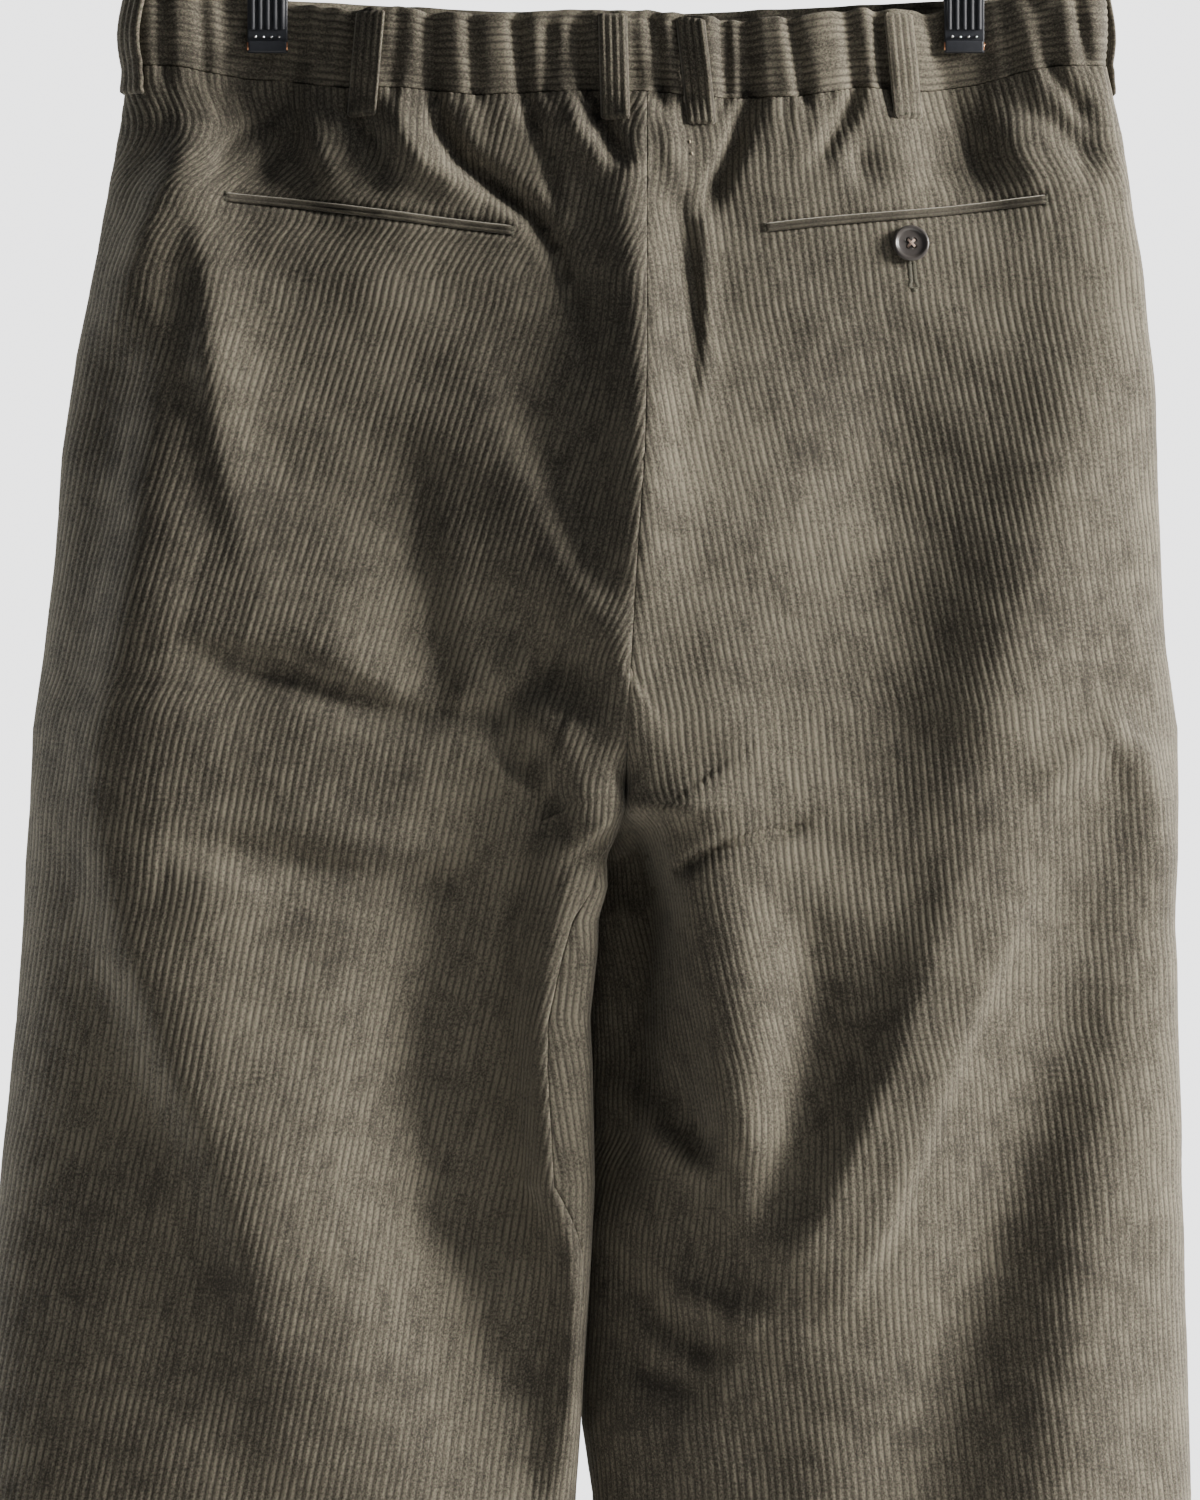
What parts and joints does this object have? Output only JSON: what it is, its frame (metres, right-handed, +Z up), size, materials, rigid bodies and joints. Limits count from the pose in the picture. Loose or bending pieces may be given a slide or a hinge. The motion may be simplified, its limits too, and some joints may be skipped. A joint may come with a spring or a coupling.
{
  "type": "corduroy trousers on a clip hanger",
  "caption": "Wide straight corduroy trousers with an elastic gathered back waistband and jetted back pockets, hanging by the band from a clip hanger.",
  "frame": {"origin": "the point on the inside top of the hook that bears on a rail", "axes": "+Z up; -Y the side that faces the room, which is the back of the trousers; +X the wearer's right"},
  "size_m": [0.5238, 0.119, 1.1215],
  "materials": {
    "corduroy": "eight-wale cotton corduroy, dark olive brown, soft sheen on the wales",
    "button": "grey-brown polished button with a paler rim",
    "hanger_steel": "bright plated wire",
    "clip_plastic": "black ribbed plastic"
  },
  "bodies": {
    "root": {"back_left": "corduroy", "back_right": "corduroy", "front_left": "corduroy", "front_right": "corduroy", "waistband_back": "corduroy", "waistband_front_left": "corduroy", "waistband_front_right": "corduroy", "fly_lap": "corduroy", "belt_loop_1": "corduroy", "belt_loop_2": "corduroy", "belt_loop_3": "corduroy", "belt_loop_4": "corduroy", "belt_loop_5": "corduroy", "belt_loop_6": "corduroy", "belt_loop_7": "corduroy", "belt_loop_8": "corduroy", "pocket_jet_left": "corduroy", "pocket_jet_right": "corduroy", "button_pocket": "button", "button_waist": "button", "hanger_hook": "hanger_steel", "hanger_bar": "hanger_steel", "hanger_boss": "clip_plastic", "clip_left_block": "clip_plastic", "clip_left_back_jaw": "clip_plastic", "clip_left_front_jaw": "clip_plastic", "clip_right_block": "clip_plastic", "clip_right_back_jaw": "clip_plastic", "clip_right_front_jaw": "clip_plastic"}
  },
  "joints": []
}
